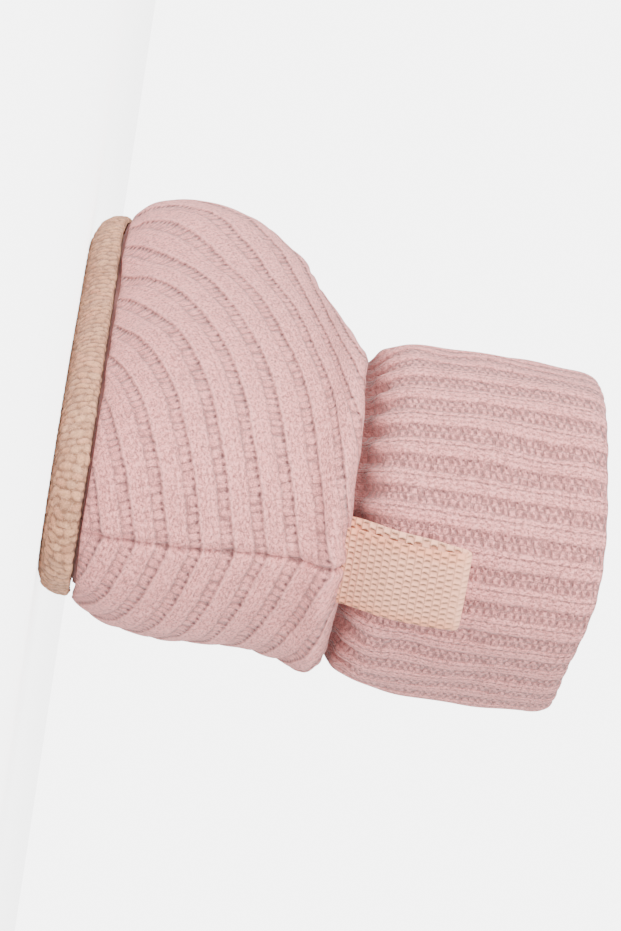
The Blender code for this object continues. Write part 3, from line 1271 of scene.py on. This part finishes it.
@dataclass
class AnkleCuff(Assembly):
    """Rib-knit cuff, folded over at the rim and gathered at the neck."""

    ribs: int = 33
    around: int = 594
    outer_rows: int = 62
    inner_rows: int = 34
    groove: float = 0.24
    depth: float = 0.00032
    neck_pinch: float = 0.0011
    gather: float = 0.0006
    gather_at: float = 0.0050
    lumps: float = 0.00045
    lumps_at: float = 0.0045
    rim_turn: int = 12

    def rings(self, angle: Array) -> tuple[Array, Array]:
        """Smooth cuff as one sleeve: up the outside, over the rim and down the inside.

        Args:
            angle: angles round the cuff.

        Returns:
            Grid of points, and for each row how deep its ribs are cut, as a column.
        """
        last, size = self.last, self.last.sizes
        path = []
        for share in np.linspace(0.25, CUFF_TOP, self.outer_rows):
            swell, height = last.cuff_profile(share)
            swell -= self.neck_pinch * (1.0 - smoothstep(0.9, 2.3, share))
            path.append((swell, height, 1.0 - 0.5 * smoothstep(4.9, CUFF_TOP, share)))
        swell, height = last.cuff_profile(CUFF_TOP)
        reach = size.shoe_height - height
        half = 0.5 * size.cuff_wall
        for degrees in range(self.rim_turn, 181, self.rim_turn):
            out, up = math.cos(math.radians(degrees)), math.sin(math.radians(degrees))
            path.append((swell - half + half * out, height + reach * up, 0.5 - 0.15 * up))
        for share in np.linspace(5.8, 0.1, self.inner_rows):
            swell, height = last.cuff_profile(share)
            thick = size.wall + (size.cuff_wall - size.wall) * min(between(CUFF, share)[1], 1.0)
            path.append((swell - thick, height, 0.8))
        return np.stack([last.oval(*place, angle) for *place, _ in path]), np.array(path)[:, 2:]

    def build(self) -> None:
        """Make the cuff with its ribs, gathers, folds and wavy rim."""
        size = self.last.sizes
        angle = np.arange(self.around) / self.around * TURN
        points, weight = self.rings(angle)
        number = angle / TURN * self.ribs + 0.5
        normal = grid_normals(points)
        climb = travelled(points).mean(axis=1)[:, None]
        offset = rib_relief(number, self.groove, self.depth) * weight
        offset *= 0.45 + 0.55 * smoothstep(0.0015, 0.0060, climb)
        offset += self.gather * bell(climb, self.gather_at, 0.0030) * np.cos(TURN * (number + 0.5))
        offset += self.lumps * bell(climb, self.lumps_at, 0.0028) * hash_noise(points, 0.0019, 17)
        soft = 0.00060 * hash_noise(points, 0.017, 5) + 0.00040 * hash_noise(points, 0.008, 12)
        offset += soft * smoothstep(0.002, 0.012, climb)
        outside = (np.arange(len(points)) < self.outer_rows + 8)[:, None]
        offset += outside * sum(fold.press(points, size) for fold in CUFF_FOLDS)
        points = points + normal * offset[..., None]

        # the rim leans out in lobes and sags between them
        rise = smoothstep(size.foot_height, size.shoe_height, points[..., 2])
        lobes = 0.0007 * np.sin(3.0 * angle + 0.6) + 0.0005 * np.sin(5.0 * angle + 2.1)
        outward = pack(-np.cos(angle), np.sin(angle), 0.0)
        points += (rise * lobes)[..., None] * outward
        sag = 0.0007 * np.sin(2.0 * angle + 1.0) + 0.0005 * np.sin(4.0 * angle + 0.3) - 0.0006
        points[..., 2] += rise**3 * sag
        across = np.append(number, number[0] + self.ribs)
        uv = pack(climb / MM, across)
        self.pieces = [grid_piece("cuff_knit", points, uv)]
        stand_in(Slot.CUFF)

    def finishes(self) -> list[object]:
        """Finish of the cuff."""
        stitch = dict(Groove=self.groove, Pitch=1.25, Beads=2.0, Pits=0.75, Line=0.15, Welt=0.0, Gutters=0.7)
        return [KnitFinish("cuff_rib_knit", stitch, neck=10.0)]


@dataclass
class WovenSole(Assembly):
    """Padded sole in nubby cloth, its nubs raised in the mesh."""

    around: int = 900
    under_rows: int = 61
    rim_steps: int = 34
    nub_long: float = 0.00160
    nub_wide: float = 0.00135
    rim_long: float = 0.00215
    rim_wide: float = 0.00165
    rim_rows: int = 3
    slant: float = 104.0
    height: float = 0.00034
    soft: float = 0.0003
    flat_below: float = 0.0008
    heel_room: float = 0.022
    toe_room: float = 0.026

    def rings(self) -> tuple[Array, Array, Array]:
        """Smooth shape from the middle of the underside out and up to the seam.

        Returns:
            Grid of points, the same cloth laid flat, and the way along the seam with the distance in from it.
        """
        size = self.last.sizes
        points, outward, lift = self.last.seam_outline(self.last.even_angles(self.around, 0.0))
        seam = size.seam_height
        fine = np.array([between(RIM, share) for share in np.linspace(0, len(RIM) - 1, self.rim_steps)])
        laid = travelled(fine) * seam
        ground = points - outward * RIM[0, 0] * seam
        spine_x = np.clip(ground[:, 0], size.heel_x + self.heel_room, -size.heel_x - self.toe_room)
        spine_y = 0.5 * size.toe_swing * np.clip(spine_x / -size.heel_x, 0.0, 1.0)
        spine = pack(spine_x, spine_y)
        way = travelled(points)
        grid, flat, border = [], [], []
        for share in np.arange(self.under_rows) / self.under_rows:
            place = spine + (ground - spine) * share
            rise = self.last.toe_lift((place[:, 0] - size.heel_x) / size.sole_length)
            grid.append(np.column_stack([place, rise]))
            flat.append(place)
            border.append(pack(way, laid[-1] + np.linalg.norm(ground - place, axis=1)))
        for (inset, height), run in zip(fine, laid):
            place = points - outward * inset * seam
            grid.append(np.column_stack([place, height * seam + lift - 0.00015 * height]))
            flat.append(ground + outward * run)
            border.append(pack(way, laid[-1] - run))
        return np.stack(grid), np.stack(flat), np.stack(border)

    @staticmethod
    def weave(long: Array, wide: Array, wobble: Array, seed: int) -> Array:
        """Rows of rounded nubs, every second row half a nub further on.

        Args:
            long: place along the nubs' rows, in nubs.
            wide: place across them, in rows.
            wobble: unevenness of both, in nubs.
            seed: changes the nubs' sizes and colours.

        Returns:
            Crown height from 0 to 1, warmth and paleness from -1 to 1, on the last axis.
        """
        wide = wide + wobble[..., 1]
        row = np.floor(wide)
        long = long + wobble[..., 0] + 0.5 * np.mod(row, 2.0) + 0.13 * np.sin(row * 2.4)
        column = np.floor(long)
        key = pack(row, column, 0.0) + 0.01
        x = 2.0 * (long - column) - 1.0
        y = 2.0 * (wide - row) - 1.0
        round_off = np.clip(1.0 - (0.85 * np.abs(x) ** 2.6 + np.abs(y) ** 2.2), 0.0, 1.0) ** 0.6
        size, warmth, paleness = (hash_noise(key, 1.0, seed + step) for step in range(3))
        return pack(round_off * (0.74 + 0.26 * size), warmth, paleness)

    def nubs(self, flat: Array, border: Array) -> Array:
        """Pebbled cloth: slanted rows in the middle, larger nubs that point out round the rim.

        Args:
            flat: grid of places on the cloth laid flat.
            border: for each place the way along the seam and the distance in from it.

        Returns:
            Crown height, warmth and paleness, each from 0 to 1, on the last axis.
        """
        turn = math.radians(self.slant)
        x, y = flat[..., 0], flat[..., 1]
        along = x * math.cos(turn) + y * math.sin(turn)
        across = -x * math.sin(turn) + y * math.cos(turn)
        space = pack(along, across, 0.0)
        wobble = pack(hash_noise(space, 0.004, 21), hash_noise(space, 0.005, 22))
        wobble += 0.6 * pack(hash_noise(space, 0.0017, 23), hash_noise(space, 0.0019, 24))
        way, inset = border[..., 0], border[..., 1]
        middle = self.weave(along / self.nub_long, across / self.nub_wide, 0.32 * wobble, 31)
        outer = self.weave(inset / self.rim_long, way / self.rim_wide, 0.40 * wobble, 51)
        reach = self.rim_rows * self.rim_long
        near = inset < reach + 0.0005 * wobble[..., 0]
        made = np.where(near[..., None], outer, middle)
        made[..., 1] = 0.5 + 0.5 * made[..., 1] + 0.35 * hash_noise(space, 0.0055, 25)
        made[..., 2] = 0.55 * np.clip(made[..., 2], 0.0, 1.0) + 0.5 * bell(inset, 0.0, reach)
        return np.clip(made, 0.0, 1.0)

    def build(self) -> None:
        """Make the sole."""
        points, flat, border = self.rings()
        nubs = self.nubs(flat, border)
        under = points[..., 2] < self.flat_below
        offset = self.height * (nubs[..., 0] - 0.75)
        soft = self.soft * hash_noise(points, 0.012, 41)
        offset = np.where(under, np.minimum(offset, 0.0), offset + soft)
        made = points + grid_normals(points) * offset[..., None]
        made[..., 2] = np.maximum(made[..., 2], -0.0001)
        sole = grid_piece("outsole_cloth", made, marks=("nub", nubs))
        stand_in(Slot.OUTSOLE)
        self.pieces = [sole]

    def finishes(self) -> list[object]:
        """Finish of the sole."""
        return [NubFinish("nubby_sole_cloth")]


@dataclass
class Footbed:
    """The footbed is the part's own solid, dressed in brushed cloth."""

    node: bpy.types.Object
    light: Colour = (0.80, 0.48, 0.38)
    deep: Colour = (0.64, 0.34, 0.26)

    def dress(self, groups: Groups) -> None:
        """Put the cloth on.

        Args:
            groups: the shared node groups.
        """
        self.node.data.materials.clear()
        self.node.data.materials.append(PlainFinish("footbed_cloth", self.light, self.deep).make(groups))
        for polygon in self.node.data.polygons:
            polygon.use_smooth = True


@dataclass
class HeelLoop(Assembly):
    """Ribbon folded in two, lying on the back of the cuff."""

    threads: int = 13
    steps: int = 40
    bend_steps: int = 12
    bend: float = 0.00062
    off_cuff: float = 0.0010
    lean: float = 0.0014
    sway: float = 0.00018
    aside: float = 0.0004
    pick: float = 1.30

    def path(self) -> Array:
        """The ribbon from the side: up from the seam, over and back down.

        Returns:
            Swell over the collar's edge and height of each point.
        """
        size = self.last.sizes
        profile = np.array([self.last.cuff_profile(share) for share in np.linspace(0.0, CUFF_TOP, 121)])
        foot = size.foot_height - size.edge_drop
        top = size.foot_height + 2.0 * size.gap + size.loop_length - 0.0011
        share = np.arange(self.steps + 1) / self.steps
        height = foot + (top - foot) * share
        swell = np.interp(height, profile[:, 1], profile[:, 0]) + self.off_cuff + self.lean * share**2
        turn = math.pi * np.arange(1, self.bend_steps) / self.bend_steps
        over = (swell[-1] + self.bend * (1.0 - np.cos(turn)), height[-1] + 1.3 * self.bend * np.sin(turn))
        back = (swell[::-1] + 2.0 * self.bend + 0.0005 * np.sin(math.pi * share), height[::-1])
        return np.concatenate([pack(*leg) for leg in ((swell, height), over, back)])

    def build(self) -> None:
        """Make the ribbon as a thin strip that folds back on itself."""
        size = self.last.sizes
        middle = self.path()
        step = np.arange(len(middle))
        top = self.steps + self.bend_steps // 2
        slip = np.interp(step, [top - 16, top + 16, len(middle) - 1], [0.00085, -0.0002, -0.0005])
        slope = unit(np.gradient(middle, axis=0))
        out = pack(-slope[:, 1], slope[:, 0])
        run = travelled(middle)

        # once round the section: the outer face, an edge, the inner face and the other edge
        face = np.linspace(-1.0, 1.0, 41)
        places = np.concatenate([face, [1.012], face[::-1], [-1.012]])
        thick = 0.46 * size.ribbon * np.repeat([1.0, 0.0, -1.0, 0.0], [41, 1, 41, 1])
        thick *= 1.0 - 0.35 * smoothstep(0.90, 1.0, np.abs(places))
        ring = middle[:, None] + out[:, None] * thick[None, :, None]
        shift = self.sway * np.sin(run / 0.0045) + self.aside + slip
        side = 0.5 * size.loop_width * places + shift[:, None]
        turn = np.arcsin(side / (size.collar_wide + ring[..., 0]))
        x = size.collar_x - (size.collar_long + ring[..., 0]) * np.cos(turn)
        points = pack(x, side, ring[..., 1])

        # the weave's map in threads, and marks for the bend (x) and the warm base, edges and inner layer (y)
        thread = (places + 1.0) * 0.5 * self.threads
        pick = run / (self.pick * size.loop_width / self.threads) + 400.0
        uv = pack(np.append(thread, thread[0]), pick[:, None])
        second = smoothstep(top, top + 10, step)[:, None]
        warm = second * (0.35 + 0.65 * smoothstep(0.62, 0.95, np.abs(places)))
        tape = np.zeros(points.shape)
        tape[..., 0] = bell(step, top, 7.5)[:, None]
        tape[..., 1] = np.maximum(bell(run, 0.0, 0.0035)[:, None], warm)
        self.pieces = [grid_piece("pull_loop_ribbon", points, uv, ("tape", tape))]
        stand_in(Slot.LOOP)

    def finishes(self) -> list[object]:
        """Finish of the ribbon."""
        return [RibbonFinish("peach_ribbon")]


@dataclass
class Studio:
    """Pale floor, soft light and the photo's viewpoint."""

    aim: tuple[float, float, float] = (-0.004, 0.0, 0.0455)
    away: float = 0.600
    low: float = 0.006
    lens: float = 129.0
    roll: float = 8.6
    sky: float = 1.25
    backdrop: float = 6.0
    glow: float = 3.6
    paint: Colour = (0.93, 0.93, 0.93)
    floor_radius: float = 6.0

    def build(self) -> None:
        """Make floor, light and camera."""
        self.floor()
        self.light()
        self.camera()

    @staticmethod
    def place(name: str, data: bpy.types.ID) -> bpy.types.Object:
        """Put a lamp or camera into the scene.

        Args:
            name: the object's name.
            data: the lamp or camera.

        Returns:
            The object.
        """
        thing = bpy.data.objects.new(name, data)
        bpy.context.scene.collection.objects.link(thing)
        return thing

    def floor(self) -> None:
        """A wide pale floor that is not part of the object."""
        bpy.ops.mesh.primitive_circle_add(vertices=96, radius=self.floor_radius, fill_type="NGON")
        floor = bpy.context.object
        floor.name = "floor"
        paint = Surface("floor_paint")
        seen = paint.add("LightPath")["Is Camera Ray"]
        white = paint.layers((0.0, 0.0, 0.0), (seen, (1.0, 1.0, 1.0)))
        gloss = {"Roughness": 0.9, "Emission Color": white, "Emission Strength": self.glow}
        floor.data.materials.append(paint.finish(self.paint, gloss))

    def light(self) -> None:
        """White surroundings and two broad lamps."""
        world = bpy.data.worlds.new("studio")
        world.use_nodes = True
        tree = Tree(world.node_tree)
        back = world.node_tree.nodes["Background"]
        seen = tree.add("LightPath")["Is Camera Ray"]
        tree.feed(back.inputs["Color"], (1.0, 1.0, 1.0))
        tree.feed(back.inputs["Strength"], seen * (self.backdrop - self.sky) + self.sky)
        bpy.context.scene.world = world
        for name, place, power, size in (
            ("key", (-0.35, 0.85, 0.30), 13.0, 0.7),
            ("fill", (-0.90, 0.10, 0.45), 9.0, 0.9),
        ):
            lamp = bpy.data.lights.new(name, "AREA")
            lamp.energy = power
            lamp.size = size
            thing = self.place(name, lamp)
            thing.location = place
            thing.rotation_mode = "QUATERNION"
            thing.rotation_quaternion = (Vector(self.aim) - Vector(place)).to_track_quat("-Z", "Y")

    def camera(self) -> None:
        """Camera on the photo's side of the shoe, lowered to the floor's level and rolled."""
        data = bpy.data.cameras.new("photo_view")
        data.lens = self.lens
        data.sensor_width = 36.0
        data.dof.use_dof = False
        data.clip_start = 0.01
        thing = self.place("photo_view", data)
        aim = Vector(self.aim)
        place = aim + Vector((-0.947, 0.322, 0.0)).normalized() * self.away
        place.z = self.low
        back = (place - aim).normalized()
        turn = math.radians(self.roll)
        side = Vector((0.322, 0.947, 0.0)).normalized()
        right = Vector((0.0, 0.0, math.cos(turn))) + side * math.sin(turn)
        right = (right - back * right.dot(back)).normalized()
        basis = Matrix((right, back.cross(right), back)).transposed()
        thing.matrix_world = Matrix.Translation(place) @ basis.to_4x4()
        bpy.context.scene.camera = thing


def main() -> None:
    """Build every piece in order and report it."""
    logging.basicConfig(level=logging.INFO, format="%(message)s")
    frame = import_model()
    groups = Groups()
    last = Last(Sizes())
    parts = [WovenSole(last), KnitUpper(last), AnkleCuff(last), HeelLoop(last)]
    for part in parts:
        part.build()
        part.dress(groups)
        for piece in part.pieces:
            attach(piece, BODY)
            LOG.info("%s: %d faces", piece.name, len(piece.data.polygons))
    Footbed(frame["nodes"][Slot.INSOLE.value]).dress(groups)
    LOG.info("footbed dressed")
    Studio().build()


if __name__ == "__main__":
    main()
